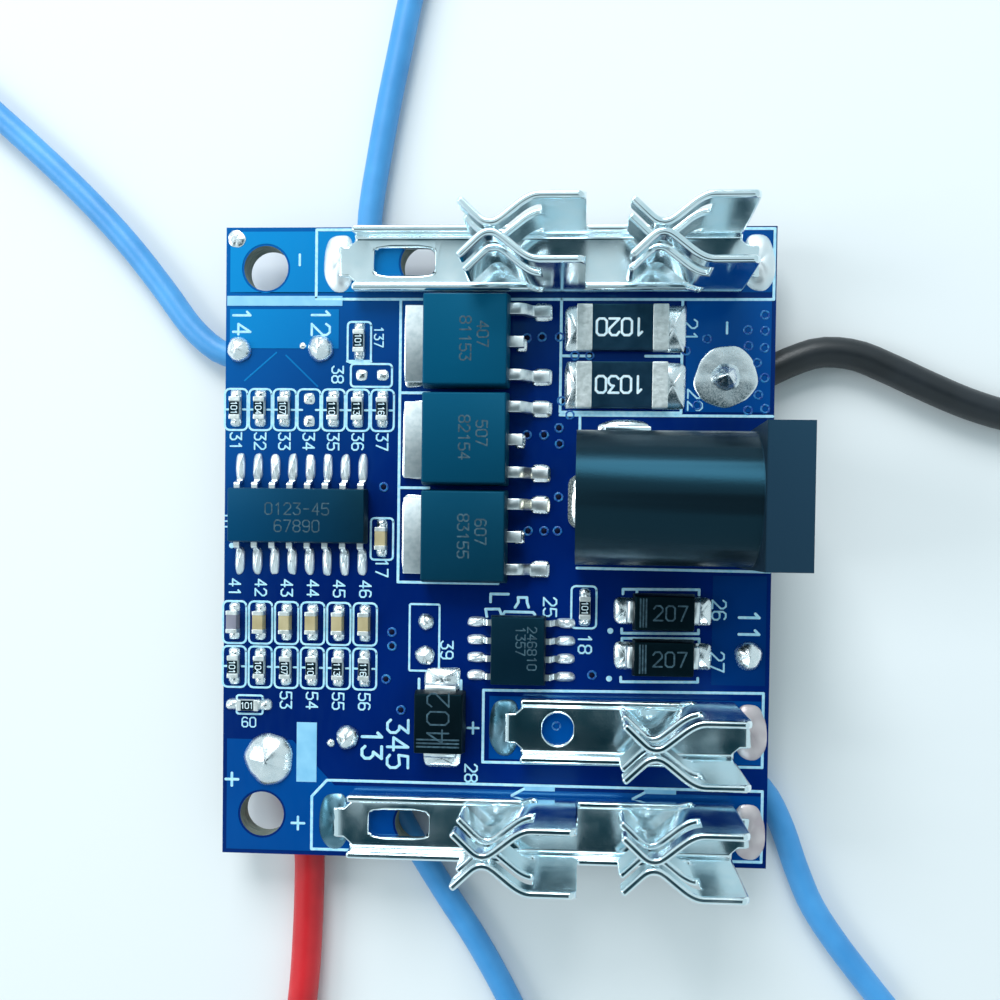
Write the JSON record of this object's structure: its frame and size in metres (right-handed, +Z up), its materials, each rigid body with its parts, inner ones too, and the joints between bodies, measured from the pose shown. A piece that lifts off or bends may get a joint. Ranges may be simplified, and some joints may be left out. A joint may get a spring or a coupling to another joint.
{
  "type": "battery management board with spring terminals",
  "caption": "Battery management board with stamped spring terminals, a barrel charging jack, power transistors, shunt resistors and soldered cell leads, standing on its terminal legs",
  "frame": {"origin": "bottom centre of the box around the board, terminals and jack without the leads, at the tips of the legs on which it stands", "axes": "+X towards the jack's mouth and the terminals' right ends, +Y towards the negative terminal, +Z up from the component side"},
  "size_m": [0.0937, 0.096, 0.015],
  "materials": {
    "solder_mask": "satin",
    "tinned_sheet": "satin",
    "solder": "polished",
    "moulded_black": "matte",
    "jack_plastic": "satin",
    "plated_brass": "polished",
    "chip_resistor": "satin",
    "chip_capacitor": "matte",
    "tinned_copper": "satin",
    "blue_insulation": "satin",
    "red_insulation": "satin",
    "black_insulation": "satin"
  },
  "bodies": {
    "root": {"circuit_board": "solder_mask", "negative_terminal": "tinned_sheet", "positive_terminal": "tinned_sheet", "charge_terminal": "tinned_sheet", "negative_terminal_solder": "solder", "positive_terminal_solder": "solder", "charge_terminal_solder": "solder", "jack_housing": "jack_plastic", "jack_centre_pin": "plated_brass", "jack_sleeve_contact": "tinned_sheet", "jack_switch_contact": "tinned_sheet", "jack_solder": "solder", "transistor_1_body": "moulded_black", "transistor_1_tab": "tinned_sheet", "transistor_1_leads": "tinned_sheet", "transistor_2_body": "moulded_black", "transistor_2_tab": "tinned_sheet", "transistor_2_leads": "tinned_sheet", "transistor_3_body": "moulded_black", "transistor_3_tab": "tinned_sheet", "transistor_3_leads": "tinned_sheet", "shunt_resistor_1": "chip_resistor", "shunt_resistor_2": "chip_resistor", "control_chip_body": "moulded_black", "control_chip_leads": "tinned_sheet", "driver_chip_body": "moulded_black", "driver_chip_leads": "tinned_sheet", "large_diode_body": "moulded_black", "large_diode_terminals": "tinned_sheet", "small_diode_1_body": "moulded_black", "small_diode_1_terminals": "tinned_sheet", "small_diode_2_body": "moulded_black", "small_diode_2_terminals": "tinned_sheet", "upper_resistors": "chip_resistor", "lower_resistors": "chip_resistor", "cell_capacitors": "chip_capacitor", "sensing_resistor": "chip_resistor", "gate_resistor": "chip_resistor", "zero_ohm_link": "chip_resistor", "supply_capacitor": "chip_capacitor", "thermistor_solder_joints": "solder", "lead_solder_joints": "solder", "cell_lead_cores": "tinned_copper", "power_lead_cores": "tinned_copper", "cell_lead_1": "blue_insulation", "cell_lead_2": "blue_insulation", "cell_lead_3": "blue_insulation", "cell_lead_4": "blue_insulation", "positive_lead": "red_insulation", "negative_lead": "black_insulation", "cell_lead_1_tip": "tinned_copper", "cell_lead_2_tip": "tinned_copper", "cell_lead_3_tip": "tinned_copper", "cell_lead_4_tip": "tinned_copper", "positive_lead_tip": "tinned_copper", "negative_lead_tip": "tinned_copper"}
  },
  "joints": []
}
